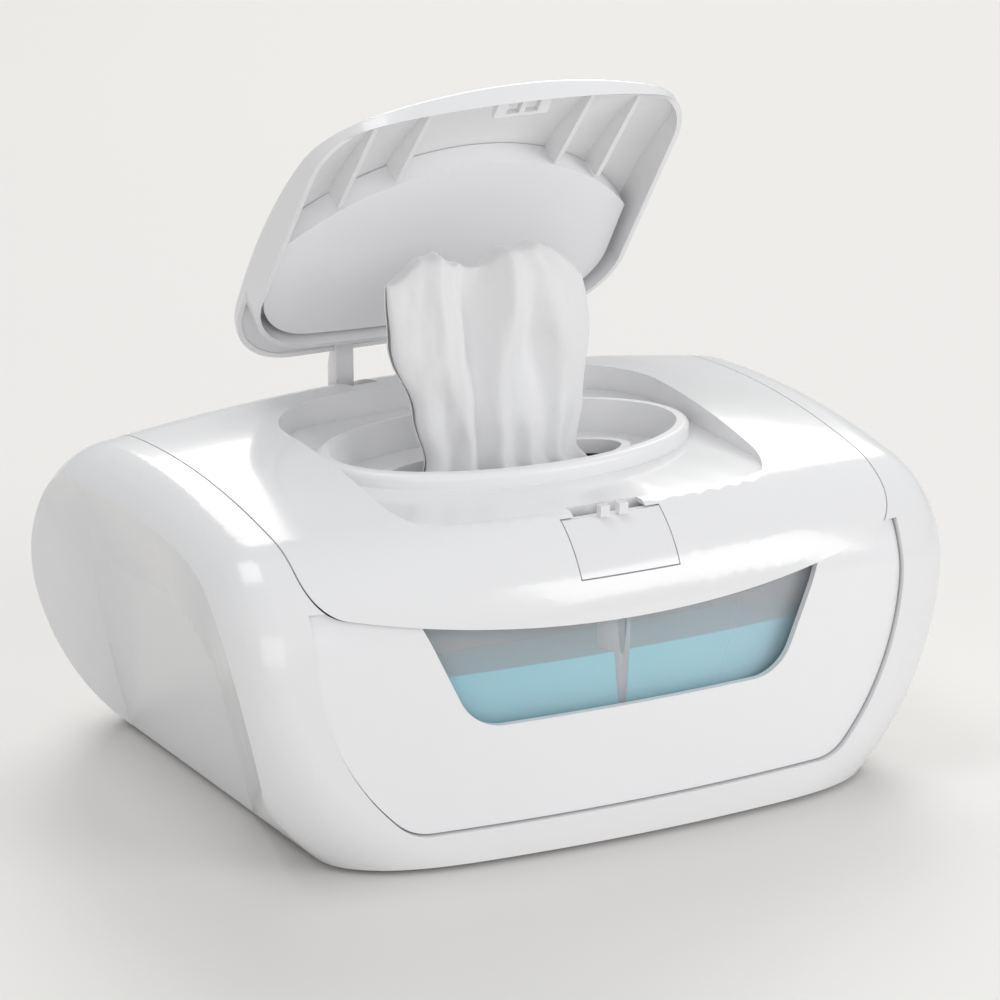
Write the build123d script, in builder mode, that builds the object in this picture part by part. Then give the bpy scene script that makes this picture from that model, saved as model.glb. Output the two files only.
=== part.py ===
from build123d import *
from math import asin, cos, degrees, hypot, pi, radians, sin, sqrt, tan
import os

# Baby wipe warmer, in millimetres. +X right, +Y to the rear, +Z up.
# The origin is the middle of the footprint, on the surface under the feet.

# Overall form of the housing and its cover
width = 244.0
depth = 180.0
top_height = 110.0
foot_lift = 1.5
base_half = 91.5
bulge_height = 68.0
side_radius = 88.0
crown_radius = 690.0
top_radius = 320.0
top_peak = 18.0
rear_round = 50.0
front_round = 36.0
corner_round = 20.0
bow_radius = 530.0
front_lean = 1.8
wall = 2.4

# How far cuts run past the faces that they open
cut_over = 1.0
cut_far = 5.0

# Seam between the cover and the housing
seam_half = 98.0
seam_gap = 0.5
lip_low = 68.0
lip_radius = 430.0
lip_corner = 13.0
skirt_depth = 9.0
cover_back = 60.0
front_reach = 45.0

# Rear hinge of the cover
hinge_inset = 5.8
hinge_height = 82.0
barrel_radius = 4.0
barrel_length = 12.0
barrel_spread = 34.0
barrel_gap = 0.4
cover_pin_radius = 1.5
pin_fit = 0.05

# The housing's one moulding is kept as four solids, split on these planes
split_front = -57.0
split_rear = 68.0
split_side = 50.0

# Front panel and its window
panel_set_back = 1.8
panel_thickness = 2.2
panel_bottom = 11.5
panel_side_radius = 72.0
panel_corner = 15.0
panel_top = 79.0
panel_flange = 9.0
window_half = 51.5
window_bottom = 41.0
window_flare = 25.0
window_corner = 15.0

# Deck under the cover, and what hangs in it
deck_height = 76.0
deck_thickness = 2.0
bin_length = 184.0
bin_depth = 112.0
bin_draft = 4.0
bin_wall = 1.6
bin_flange = 4.0
bin_flange_thickness = 2.0
bin_floor_height = 17.0
bin_corner = 18.0
bin_centre = 10.0
drop_gap = 0.4

# Water tank behind the window
tank_half = 70.0
tank_floor_height = 30.0
tank_wall = 1.8
tank_set_back = 7.0
water_level = 55.0
water_gap = 0.3
seat = 0.2
tank_depth = 27.0
bow_allowance = 1.0
pillar_radius = 5.0
pillar_set_back = 15.5
tank_cover_thickness = 2.0
filler_radius = 6.5
filler_offset = 45.0

# Scooped recesses in the two sides
scoop_lean = 13.5
scoop_floor_front = -19.5
scoop_floor_rear = 68.0
scoop_floor_top = 62.0
scoop_floor_corner = 22.0
scoop_mouth_front = -82.4
scoop_mouth_rear = 79.0
scoop_mouth_top = 172.0
scoop_mouth_corner = 42.0
scoop_rise = 17.0
scoop_below = 14.0
scoop_wall = 2.2

# Dish in the cover, with the well and the flip lid
dish_height = 100.0
dish_pivot = 29.0
dish_tilt = 2.0
dish_wall = 2.2
dish_rear = 37.0
lid_gap = 0.6
lid_half = 63.9
lid_front_half = 62.0
lid_rear = 48.0
lid_front = -78.0
lid_corner = 26.0
lid_rear_bow = 3.0
lid_front_bow = 14.0
lid_peak_height = 118.5
lid_peak = 2.4
lid_dome_radius = 176.0
lid_crown_radius = 350.0
lid_wall = 1.6
lid_rim_clear = 0.8
lid_swing_clear = 1.4
lid_edge_round = 2.0
lid_hinge_y = 60.0
lid_hinge_height = 101.0
lid_open_angle = 55.0
lid_arm_x = 21.0
lid_arm_width = 6.0
lid_arm_thickness = 6.0
lid_arm_y = 47.5
lid_arm_height = 110.0
lid_pin_radius = 1.25
lid_pin_length = 13.0
hinge_pocket_front = 43.5
hinge_pocket_rear = 64.5
hinge_pocket_floor = 96.5
hinge_pocket_gap = 1.5
gusset_inner = 27.0
gusset_outer = 44.0
gusset_width = 1.6
gusset_front = -68.0
gusset_low = 104.2
latch_hole_inner = 0.9
latch_hole_outer = 5.3
latch_hole_front = -75.2
latch_hole_rear = -68.6
catch_half = 9.0
catch_rear = -67.4
catch_low = 95.5
catch_thickness = 1.8

# Inner panel of the flip lid
liner_inset = 4.5
liner_low = 104.0
liner_thickness = 1.6
liner_front = -38.0
liner_bow_radius = 77.0
liner_seat = 0.2
well_half = 57.0
well_half_depth = 33.0
well_centre = -8.0
well_rim_height = 102.5
well_floor_height = 92.0
well_wall = 2.0
well_rim_width = 4.0
orifice_half = 40.0
orifice_half_depth = 13.0
orifice_ring = 3.0
orifice_ring_height = 2.5
well_rim_round = 2.0

# Base plate under the housing
base_length = 166.0
base_depth = 160.0
base_shift = 2.0
base_corner = 14.0
base_thickness = 2.4
base_gap = 0.3
post_radius = 4.0
post_half = 76.0
post_front = -62.0
post_rear = 76.0
screw_radius = 1.4
screw_depth = 10.0
screw_head_radius = 3.0
screw_head_height = 1.4
foot_radius = 8.0
foot_half = 63.0
foot_seat = 1.0
rib_pitch = 36.0
rib_width = 2.0

# Release button at the front of the cover
button_half = 16.2
button_low = 80.5
button_high = 94.8
button_gap = 0.4
button_face = 2.0
button_back = -70.0
cavity_rear = -66.4
latch_slot_half = 12.0
prong_inner = 1.6
prong_outer = 4.6
prong_front = -74.5
prong_rear = -72.0
prong_top = 98.2
spring_wire = 0.5
spring_radius = 2.5
spring_turns = 5
spring_start = 14.2
spring_rise = 5.5

# Wipe pulled up through the orifice
wipe_folds = 4
wipe_thickness = 2.4
wipe_twist = 0.01
wipe_under_well = 88.0
wipe_over_ring = 97.0
wipe_neck = 112.0
wipe_shoulder = 140.0
wipe_top = 161.0

# Seal, wipes, heater and wiring
seal_in = -0.5
seal_out = 1.5
seal_height = 1.6
stack_length = 171.0
stack_depth = 99.0
stack_corner = 13.0
stack_height = 34.0
heater_length = 150.0
heater_depth = 80.0
heater_thickness = 1.5
pad_thickness = 5.5
sensor_x = 30.0
sensor_radius = 7.0
board_x = 15.0
board_y = 68.0
board_length = 44.0
board_depth = 14.0
board_low = 8.0
board_thickness = 1.6
jack_x = 60.0
jack_height = 22.0
jack_radius = 5.5
jack_recess = 3.0
jack_ring_radius = 4.2
jack_hole_radius = 2.8
jack_pin_radius = 1.0
tank_rim = 1.6
tank_flange = 3.0
tank_cover_low = 74.0
filler_y = -65.8
pin_length = 34.0

front = -depth / 2
rear = depth / 2
clear_front = front - cut_far
clear_top = top_height + cut_far
tank_front = front + tank_set_back + bow_allowance
tank_rear = tank_front + tank_depth
post_spots = [(x, y) for x in (-post_half, post_half) for y in (post_front, post_rear)]
foot_spots = [(x, y) for x in (-foot_half, foot_half) for y in (-foot_half, foot_half)]
hinge_y = rear - hinge_inset
pillar_y = front + pillar_set_back
dish_base = well_floor_height - 2 * cut_far


def body_form(inset):
    """The closed outer form of housing and cover, moved inwards by inset."""
    sweep = 20.0
    crown_centre = top_height - crown_radius
    run_out = 15.0
    radial = crown_radius - inset
    arc = top_radius - inset
    rear_face = rear - inset
    rear_drop = arc - sqrt(arc**2 - (rear_face - top_peak)**2)
    front_drop = arc - sqrt(arc**2 - (top_peak - front + run_out)**2)
    low = radial - top_height - run_out
    crown_plane = Plane(
        origin=(0, 0, crown_centre),
        x_dir=(0, 1, 0),
        z_dir=(cos(radians(sweep)), 0, sin(radians(sweep))),
    )
    with BuildPart() as crown:
        with BuildSketch(crown_plane):
            with BuildLine():
                Line((front - run_out, low), (front - run_out, radial - front_drop))
                ThreePointArc(
                    (front - run_out, radial - front_drop),
                    (top_peak, radial),
                    (rear_face, radial - rear_drop),
                )
                Line((rear_face, radial - rear_drop), (rear_face, low))
                Line((rear_face, low), (front - run_out, low))
            make_face()
        revolve(axis=Axis((0, 0, crown_centre), (0, 1, 0)), revolution_arc=2 * sweep)
        rear_edge = crown.edges().group_by(Axis.Y)[-1].sort_by(Axis.Z)[-1]
        fillet(rear_edge, rear_round - inset)

    bow_centre = front + bow_radius
    lean = tan(radians(front_lean))
    reach = bow_radius - inset
    bow_plane = Plane(
        origin=(0, bow_centre, 0),
        x_dir=(-sin(radians(sweep)), -cos(radians(sweep)), 0),
        z_dir=(-cos(radians(sweep)), sin(radians(sweep)), 0),
    )
    with BuildPart() as bow:
        with BuildSketch(bow_plane):
            with BuildLine():
                Polyline(
                    (reach + run_out * lean, -run_out),
                    (reach - (top_height + run_out) * lean, top_height + run_out),
                    (reach - 1.5 * depth, top_height + run_out),
                    (reach - 1.5 * depth, -run_out),
                    close=True,
                )
            make_face()
        revolve(axis=Axis((0, bow_centre, 0), (0, 0, 1)), revolution_arc=2 * sweep)

    side_centre = width / 2 - side_radius
    side = side_radius - inset
    floor = foot_lift + inset
    ceiling = top_height + run_out
    floor_half = side_centre + sqrt(side**2 - (bulge_height - floor)**2)
    ceiling_half = side_centre + sqrt(side**2 - (ceiling - bulge_height)**2)
    with BuildPart() as form:
        with BuildSketch(Plane.XZ.offset(front - run_out)):
            with BuildLine():
                Line((-floor_half, floor), (floor_half, floor))
                ThreePointArc(
                    (floor_half, floor),
                    (side_centre + side, bulge_height),
                    (ceiling_half, ceiling),
                )
                Line((ceiling_half, ceiling), (-ceiling_half, ceiling))
                ThreePointArc(
                    (-ceiling_half, ceiling),
                    (-side_centre - side, bulge_height),
                    (-floor_half, floor),
                )
            make_face()
        extrude(amount=depth + 2 * run_out)
        add(crown.part, mode=Mode.INTERSECT)
        add(bow.part, mode=Mode.INTERSECT)
        front_edges = form.edges().filter_by(
            lambda e: abs(e.center().X) < 1 and e.center().Y < 0 and e.center().Z > bulge_height
        )
        fillet(front_edges.sort_by(Axis.Z)[-1], front_round - inset)
        for side_sign in (-1, 1):
            side_face = form.faces().sort_by(Axis.X)[0 if side_sign < 0 else -1]
            rim = side_face.edges().filter_by(lambda e: e.center().Z > floor + 0.5)
            fillet(rim, corner_round - inset)
    return form.part


def cover_prism(grow, back):
    """Inside the cover's outline seen from the front, from the front to back."""
    half = seam_half + grow
    low = lip_low - grow
    edge = low + lip_radius - sqrt(lip_radius**2 - half**2)
    with BuildPart() as prism:
        with BuildSketch(Plane.XZ.offset(-back)) as outline:
            with BuildLine():
                ThreePointArc((-half, edge), (0, low), (half, edge))
                Line((half, edge), (half, clear_top))
                Line((half, clear_top), (-half, clear_top))
                Line((-half, clear_top), (-half, edge))
            make_face()
            fillet(outline.vertices().group_by(Axis.Y)[0], lip_corner + grow)
        extrude(amount=back - clear_front)
    return prism.part


def panel_prism(grow, top, back):
    """Inside the front panel's outline seen from the front, from the front to back."""
    half = seam_half + grow
    centre = seam_half - panel_side_radius
    radius = panel_side_radius + grow
    floor = panel_bottom - grow
    drop = asin((bulge_height - floor) / radius)
    floor_half = centre + radius * cos(drop)
    middle = (centre + radius * cos(drop / 2), bulge_height - radius * sin(drop / 2))
    with BuildPart() as prism:
        with BuildSketch(Plane.XZ.offset(-back)) as outline:
            with BuildLine():
                Line((-floor_half, floor), (floor_half, floor))
                ThreePointArc((floor_half, floor), middle, (half, bulge_height))
                Line((half, bulge_height), (half, top))
                Line((half, top), (-half, top))
                Line((-half, top), (-half, bulge_height))
                ThreePointArc((-half, bulge_height), (-middle[0], middle[1]), (-floor_half, floor))
            make_face()
            fillet(outline.vertices().group_by(Axis.Y)[0], panel_corner + grow)
        extrude(amount=back - clear_front)
    return prism.part


def rim_outline(grow, back_edge):
    """A face of the flip lid's outline seen from above, with its rear at back_edge."""
    half = lid_half + grow
    front_half = lid_front_half + grow
    back = back_edge + grow
    front_edge = lid_front - grow
    shoulder = front_edge + lid_front_bow
    with BuildSketch() as outline:
        with BuildLine():
            ThreePointArc((-front_half, shoulder), (0, front_edge), (front_half, shoulder))
            Line((front_half, shoulder), (half, back - lid_rear_bow))
            ThreePointArc((half, back - lid_rear_bow), (0, back), (-half, back - lid_rear_bow))
            Line((-half, back - lid_rear_bow), (-front_half, shoulder))
        make_face()
        fillet(outline.vertices(), lid_corner + grow)
    return outline.sketch


def lid_dome(inset):
    """What lies under the flip lid's domed top, lowered by inset."""
    sweep = 25.0
    centre_height = lid_peak_height - lid_crown_radius
    radial = lid_crown_radius - inset
    arc = lid_dome_radius - inset
    rear_end = lid_rear + lid_corner
    front_end = lid_front - lid_corner / 2
    rear_drop = arc - sqrt(arc**2 - (rear_end - lid_peak)**2)
    front_drop = arc - sqrt(arc**2 - (front_end - lid_peak)**2)
    low = radial - lid_corner * 2.5
    dome_plane = Plane(
        origin=(0, 0, centre_height),
        x_dir=(0, 1, 0),
        z_dir=(cos(radians(sweep)), 0, sin(radians(sweep))),
    )
    with BuildPart() as dome:
        with BuildSketch(dome_plane):
            with BuildLine():
                Line((front_end, low), (front_end, radial - front_drop))
                ThreePointArc(
                    (front_end, radial - front_drop),
                    (lid_peak, radial),
                    (rear_end, radial - rear_drop),
                )
                Line((rear_end, radial - rear_drop), (rear_end, low))
                Line((rear_end, low), (front_end, low))
            make_face()
        revolve(axis=Axis((0, 0, centre_height), (0, 1, 0)), revolution_arc=2 * sweep)
    return dome.part


def scoop(grow):
    """The hollow in the right side, grown by grow, from its leaning floor out to its mouth."""
    floor_plane = Plane(
        origin=(base_half - grow, 0, foot_lift),
        x_dir=(0, 1, 0),
        z_dir=(cos(radians(scoop_lean)), 0, -sin(radians(scoop_lean))),
    )
    ends = (
        (0, scoop_floor_front, scoop_floor_rear, scoop_floor_top, scoop_floor_corner),
        (scoop_rise, scoop_mouth_front, scoop_mouth_rear, scoop_mouth_top, scoop_mouth_corner),
    )
    with BuildPart() as hollow:
        for rise, front_edge, rear_edge, top_edge, corner in ends:
            with BuildSketch(floor_plane.offset(rise)) as outline:
                with Locations(((front_edge + rear_edge) / 2, (top_edge - scoop_below) / 2)):
                    Rectangle(
                        rear_edge - front_edge + 2 * grow, top_edge + scoop_below + 2 * grow
                    )
                fillet(outline.vertices().group_by(Axis.Y)[-1], corner + grow)
        loft(ruled=True)
    return hollow.part


def dish_prism(grow, back_edge):
    """The flip lid's outline seen from above, through the whole height of the dish."""
    with BuildPart() as prism:
        with BuildSketch(Plane.XY.offset(dish_base)):
            add(rim_outline(grow, back_edge))
        extrude(amount=clear_top)
    return prism.part


def under_dish(rise):
    """Everything below the dish's floor, which falls to the front, raised by rise."""
    floor_plane = Plane(
        origin=(0, dish_pivot, dish_height + rise),
        x_dir=(1, 0, 0),
        z_dir=(0, -sin(radians(dish_tilt)), cos(radians(dish_tilt))),
    )
    with BuildPart() as block:
        with BuildSketch(floor_plane):
            Rectangle(width, 2 * depth)
        extrude(amount=-dish_height)
    return block.part


def slab(low, high, half, y_front, y_rear):
    """A block on the middle plane between two heights."""
    with BuildPart() as block:
        with BuildSketch(Plane.XY.offset(low)):
            with Locations((0, (y_front + y_rear) / 2)):
                Rectangle(2 * half, y_rear - y_front)
        extrude(amount=high - low)
    return block.part


def tray_prism(grow, low, high):
    """The wipe compartment's rounded outline between two heights, tapered downwards."""
    with BuildPart() as prism:
        with BuildSketch(Plane.XY.offset(high)):
            with Locations((0, bin_centre)):
                RectangleRounded(
                    bin_length + 2 * grow, bin_depth + 2 * grow, bin_corner + grow
                )
        extrude(amount=low - high, taper=bin_draft)
    return prism.part


def oval_prism(half, half_depth, low, high):
    """An oval column about the well's middle."""
    with BuildPart() as prism:
        with BuildSketch(Plane.XY.offset(low)):
            with Locations((0, well_centre)):
                Ellipse(half, half_depth)
        extrude(amount=high - low)
    return prism.part


os.makedirs("parts", exist_ok=True)

outer_form = body_form(0)
inner_form = body_form(wall)
panel_back = panel_set_back + panel_thickness
tray_front = panel_back + seat
tray_back = tray_front + wall
tray_front_form = body_form(tray_front)
tray_back_form = body_form(tray_back)
skirt_form = body_form(skirt_depth)
front_zone = front + front_reach
side_cut = seam_half + seam_gap
deck_under = deck_height - deck_thickness

# ---------------------------------------------------------------- housing
with BuildPart() as panel_pocket:
    add(panel_prism(seam_gap, panel_top + seam_gap, front_zone))
    add(tray_front_form, mode=Mode.SUBTRACT)

with BuildPart() as panel_tray:
    add(outer_form)
    add(tray_back_form, mode=Mode.SUBTRACT)
    add(panel_prism(seam_gap + wall, deck_height, front_zone), mode=Mode.INTERSECT)

with BuildPart() as deck:
    add(body_form(tray_back + seat))
    add(slab(deck_under, deck_height, side_cut, front, rear), mode=Mode.INTERSECT)
    add(tray_prism(drop_gap, deck_height - cut_far, deck_height + cut_over), mode=Mode.SUBTRACT)
    with BuildSketch(Plane.XY.offset(deck_height + cut_over)):
        with Locations((0, (tank_front + tank_rear) / 2)):
            Rectangle(2 * tank_half + 2 * drop_gap, tank_rear - tank_front + 2 * drop_gap)
    extrude(amount=-cut_far, mode=Mode.SUBTRACT)

with BuildPart() as cover_rails:
    add(outer_form)
    with BuildSketch(Plane.XY.offset(deck_height - deck_thickness)):
        for side_sign in (-1, 1):
            with Locations((side_sign * (seam_half + seam_gap + wall / 2), 0)):
                Rectangle(wall, depth)
    extrude(amount=top_height, mode=Mode.INTERSECT)

with BuildPart() as scoop_walls:
    add(scoop(scoop_wall))
    mirror(about=Plane.YZ)
    add(outer_form, mode=Mode.INTERSECT)

with BuildPart() as scoop_hollows:
    add(scoop(0))
    mirror(about=Plane.YZ)

with BuildPart() as housing:
    add(outer_form)
    add(inner_form, mode=Mode.SUBTRACT)
    add(scoop_walls.part)
    add(scoop_hollows.part, mode=Mode.SUBTRACT)
    add(cover_prism(seam_gap, cover_back), mode=Mode.SUBTRACT)
    add(
        slab(
            hinge_height - seam_gap,
            clear_top,
            seam_half + seam_gap,
            cover_back - cut_over,
            rear + cut_far,
        ),
        mode=Mode.SUBTRACT,
    )
    add(panel_tray.part)
    add(cover_rails.part)
    add(panel_pocket.part, mode=Mode.SUBTRACT)
    # Window through the tray behind the panel
    add(
        panel_prism(-panel_flange, deck_height - deck_thickness - 2, front_zone),
        mode=Mode.SUBTRACT,
    )
    # Opening for the base plate
    with BuildSketch(Plane.XY.offset(foot_lift)):
        with Locations((0, base_shift)):
            RectangleRounded(base_length + 2 * base_gap, base_depth + 2 * base_gap, base_corner)
    extrude(amount=base_thickness + cut_over, mode=Mode.SUBTRACT)

# Screw posts between the deck and the base plate
with BuildPart() as screw_posts:
    with BuildSketch(Plane.XY.offset(foot_lift + base_thickness)):
        with Locations(*post_spots):
            Circle(post_radius)
    extrude(amount=deck_under - foot_lift - base_thickness)
    with BuildSketch(Plane.XY.offset(foot_lift + base_thickness)):
        with Locations(*post_spots):
            Circle(screw_radius + pin_fit)
    extrude(amount=screw_depth, mode=Mode.SUBTRACT)


def hinge_relief(near, far, low, high):
    """Blocks round the rear hinge line, between two distances from each barrel's middle."""
    with BuildPart() as relief:
        with BuildSketch(Plane.XY.offset(low)):
            for side_sign in (-1, 1):
                for end_sign in (-1, 1):
                    middle = side_sign * barrel_spread + end_sign * (near + far) / 2
                    with Locations((middle, hinge_y)):
                        Rectangle(far - near, 2 * (barrel_radius + barrel_gap))
        extrude(amount=high - low)
    return relief.part


def cross_rods(radius, centres, length, y, height):
    """Rods along X about the given middles."""
    with BuildPart() as rods:
        for centre in centres:
            with BuildSketch(Plane.YZ.offset(centre - length / 2)):
                with Locations((y, height)):
                    Circle(radius)
            extrude(amount=length)
    return rods.part


def jack_round(radius, y_outer, y_inner):
    """A round bar on the inlet's axis, from y_outer inwards to y_inner."""
    with BuildPart() as bar:
        with BuildSketch(Plane.XZ.offset(-y_outer)):
            with Locations((jack_x, jack_height)):
                Circle(radius)
        extrude(amount=y_outer - y_inner)
    return bar.part


spread = (-barrel_spread, barrel_spread)
barrel_step = barrel_length + barrel_gap
outer_middles = [s * barrel_spread + e * barrel_step for s in (-1, 1) for e in (-1, 1)]
pin_bores = cross_rods(cover_pin_radius + pin_fit, spread, pin_length + 4, hinge_y, hinge_height)
jack_inner = rear - jack_recess - wall

with BuildPart() as finished_housing:
    add(housing.part)
    add(
        hinge_relief(
            0, barrel_length / 2 + barrel_gap, hinge_height - barrel_radius - seam_gap, clear_top
        ),
        mode=Mode.SUBTRACT,
    )
    add(
        cross_rods(
            barrel_radius, outer_middles, barrel_length - barrel_gap, hinge_y, hinge_height
        )
    )
    add(pin_bores, mode=Mode.SUBTRACT)
    add(jack_round(jack_radius + wall, rear, jack_inner))
    add(jack_round(jack_radius, rear + cut_over, rear - jack_recess), mode=Mode.SUBTRACT)
    add(
        jack_round(jack_ring_radius + pin_fit, rear + cut_over, jack_inner - cut_over),
        mode=Mode.SUBTRACT,
    )


def side_zone(side_sign):
    """The space that holds one side of the housing, and its lower wall behind the front."""
    outer_x = side_sign * (side_cut + width) / 2
    inner_x = side_sign * (split_side + side_cut) / 2
    with BuildPart() as zone:
        with BuildSketch():
            with Locations((outer_x, 0)):
                Rectangle(width - side_cut, depth + 2 * cut_far)
        extrude(amount=clear_top)
        with BuildSketch():
            with Locations((inner_x, (split_front + split_rear) / 2)):
                Rectangle(side_cut - split_side, split_rear - split_front)
        extrude(amount=clear_top)
        with BuildSketch(Plane.XY.offset(deck_height)):
            with Locations((inner_x, (clear_front + split_rear) / 2)):
                Rectangle(side_cut - split_side, split_rear - clear_front)
        extrude(amount=top_height)
    return zone.part


def housing_piece(zone):
    """What the housing's moulding has inside a zone."""
    with BuildPart() as piece:
        add(finished_housing.part)
        add(zone, mode=Mode.INTERSECT)
    return piece.part


housing_front = housing_piece(slab(0, deck_height, side_cut, clear_front, split_front))
housing_front.label = "housing_front"
housing_rear = housing_piece(slab(0, clear_top, side_cut, split_rear, rear + cut_far))
housing_rear.label = "housing_rear"
housing_right = housing_piece(side_zone(1))
housing_right.label = "housing_right"
housing_left = housing_piece(side_zone(-1))
housing_left.label = "housing_left"
with BuildPart() as deck_frame:
    add(deck.part)
    add(screw_posts.part)
deck_frame.part.label = "deck_frame"

cover_hinge_pins = cross_rods(cover_pin_radius, spread, pin_length, hinge_y, hinge_height)
cover_hinge_pins.label = "cover_hinge_pins"

# ------------------------------------------------------------ front panel
with BuildPart() as front_panel:
    add(body_form(panel_set_back))
    add(body_form(panel_back), mode=Mode.SUBTRACT)
    add(panel_prism(0, panel_top, front_zone), mode=Mode.INTERSECT)
    add(cover_prism(seam_gap, front_zone), mode=Mode.SUBTRACT)
    with BuildSketch(Plane.XZ.offset(-front_zone)) as window:
        window_top_half = window_half + (clear_top - window_bottom) * tan(radians(window_flare))
        with BuildLine():
            Polyline(
                (-window_half, window_bottom),
                (window_half, window_bottom),
                (window_top_half, clear_top),
                (-window_top_half, clear_top),
                close=True,
            )
        make_face()
        fillet(window.vertices().group_by(Axis.Y)[0], window_corner)
    extrude(amount=front_zone - clear_front, mode=Mode.SUBTRACT)
front_panel.part.label = "front_panel"

# -------------------------------------------------------------- water tank
tank_floor = tank_floor_height + tank_wall
tank_inner_half = tank_half - tank_wall
tank_inner_rear = tank_rear - tank_wall
tank_lip_front = tank_front + 6
tank_lip_rear = tank_rear + tank_flange
ledge = 6.0
ledge_drop = 4.0
tank_inner_form = body_form(tank_set_back + tank_wall)
tank_loose_form = body_form(tank_set_back + tank_wall + water_gap)

with BuildPart() as tank_inside:
    add(tank_inner_form)
    add(
        slab(tank_floor, clear_top, tank_inner_half, front, tank_inner_rear),
        mode=Mode.INTERSECT,
    )
    with BuildSketch(Plane.XY.offset(tank_cover_low)):
        for side_sign in (-1, 1):
            with Locations((side_sign * tank_inner_half, tank_inner_rear)):
                Rectangle(2 * ledge, 2 * ledge)
    extrude(amount=-ledge_drop, mode=Mode.SUBTRACT)
    with BuildSketch(Plane.XY.offset(tank_floor_height)):
        with Locations((0, pillar_y)):
            Circle(pillar_radius)
    extrude(amount=tank_cover_low - tank_floor_height, mode=Mode.SUBTRACT)

with BuildPart() as water_tank:
    add(body_form(tank_set_back))
    add(
        slab(tank_floor_height, deck_height + tank_rim, tank_half, front, tank_rear),
        mode=Mode.INTERSECT,
    )
    add(
        slab(
            deck_height,
            deck_height + tank_rim,
            tank_half + tank_flange,
            tank_lip_front,
            tank_lip_rear,
        )
    )
    add(tank_inside.part, mode=Mode.SUBTRACT)
    with BuildSketch(Plane.XY.offset(tank_floor)):
        with Locations((0, pillar_y)):
            Circle(pillar_radius - tank_wall)
    extrude(amount=tank_cover_low - tank_floor, mode=Mode.SUBTRACT)
water_tank.part.label = "water_tank"

with BuildPart() as tank_water:
    add(tank_loose_form)
    add(
        slab(
            tank_floor + water_gap,
            water_level,
            tank_inner_half - water_gap,
            front,
            tank_inner_rear - water_gap,
        ),
        mode=Mode.INTERSECT,
    )
    with BuildSketch(Plane.XY.offset(tank_floor)):
        with Locations((0, pillar_y)):
            Circle(pillar_radius + water_gap)
    extrude(amount=water_level, mode=Mode.SUBTRACT)
tank_water.part.label = "tank_water"

with BuildPart() as tank_cover:
    add(tank_loose_form)
    add(
        slab(
            tank_cover_low,
            tank_cover_low + tank_cover_thickness,
            tank_inner_half - water_gap,
            front,
            tank_inner_rear - water_gap,
        ),
        mode=Mode.INTERSECT,
    )
    with BuildSketch(Plane.XY.offset(tank_cover_low)):
        with Locations((filler_offset, filler_y)):
            Circle(filler_radius + pin_fit)
    extrude(amount=tank_cover_thickness, mode=Mode.SUBTRACT)
tank_cover.part.label = "tank_cover"

plug_skirt = 3.0
plug_flange = 1.3
plug_head = 1.2
plug_grip = 2.4
plug_base = tank_cover_low + tank_cover_thickness
with BuildPart() as filler_plug:
    with BuildSketch(Plane.XY.offset(plug_base)):
        with Locations((filler_offset, filler_y)):
            Circle(filler_radius)
            Circle(filler_radius - plug_flange, mode=Mode.SUBTRACT)
    extrude(amount=-plug_skirt)
    with BuildSketch(Plane.XY.offset(plug_base)):
        with Locations((filler_offset, filler_y)):
            Circle(filler_radius + plug_flange)
    extrude(amount=plug_head)
    with BuildSketch(Plane.XY.offset(plug_base + plug_head)):
        with Locations((filler_offset, filler_y)):
            SlotOverall(1.6 * filler_radius, plug_grip)
    extrude(amount=plug_skirt)
filler_plug.part.label = "filler_plug"

# --------------------------------------------------------------- wipe bin
bin_top = deck_height + bin_flange_thickness
stack_base = bin_floor_height + bin_wall

with BuildPart() as inner_bin:
    add(tray_prism(0, bin_floor_height, bin_top))
    with BuildSketch(Plane.XY.offset(deck_height)):
        with Locations((0, bin_centre)):
            RectangleRounded(
                bin_length + 2 * bin_flange, bin_depth + 2 * bin_flange, bin_corner + bin_flange
            )
    extrude(amount=bin_flange_thickness)
    add(tray_prism(-bin_wall, stack_base, bin_top), mode=Mode.SUBTRACT)
inner_bin.part.label = "inner_bin"


def seal_ring(low, high):
    """An upright ring over the wipe compartment's flange."""
    with BuildPart() as ring:
        with BuildSketch(Plane.XY.offset(low)):
            with Locations((0, bin_centre)):
                RectangleRounded(
                    bin_length + 2 * seal_out, bin_depth + 2 * seal_out, bin_corner + seal_out
                )
                RectangleRounded(
                    bin_length + 2 * seal_in,
                    bin_depth + 2 * seal_in,
                    bin_corner + seal_in,
                    mode=Mode.SUBTRACT,
                )
        extrude(amount=high - low)
    return ring.part


bin_seal = seal_ring(bin_top, bin_top + seal_height)
bin_seal.label = "bin_seal"

with BuildPart() as wipe_stack:
    with BuildSketch(Plane.XY.offset(stack_base)):
        with Locations((0, bin_centre)):
            RectangleRounded(stack_length, stack_depth, stack_corner)
    extrude(amount=stack_height)
    fillet(wipe_stack.edges().group_by(Axis.Z)[-1], bin_wall)
wipe_stack.part.label = "wipe_stack"

# ------------------------------------------------------ heater and wiring
heater_low = bin_floor_height - heater_thickness
pad_low = heater_low - pad_thickness

with BuildPart() as heater_plate:
    with BuildSketch(Plane.XY.offset(heater_low)):
        with Locations((0, bin_centre)):
            RectangleRounded(heater_length, heater_depth, sensor_radius)
    extrude(amount=heater_thickness)
heater_plate.part.label = "heater_plate"

with BuildPart() as insulation_pad:
    with BuildSketch(Plane.XY.offset(pad_low)):
        with Locations((0, bin_centre)):
            RectangleRounded(heater_length, heater_depth, sensor_radius)
        with Locations((sensor_x, bin_centre)):
            Circle(sensor_radius + drop_gap, mode=Mode.SUBTRACT)
    extrude(amount=pad_thickness)
insulation_pad.part.label = "insulation_pad"

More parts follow.
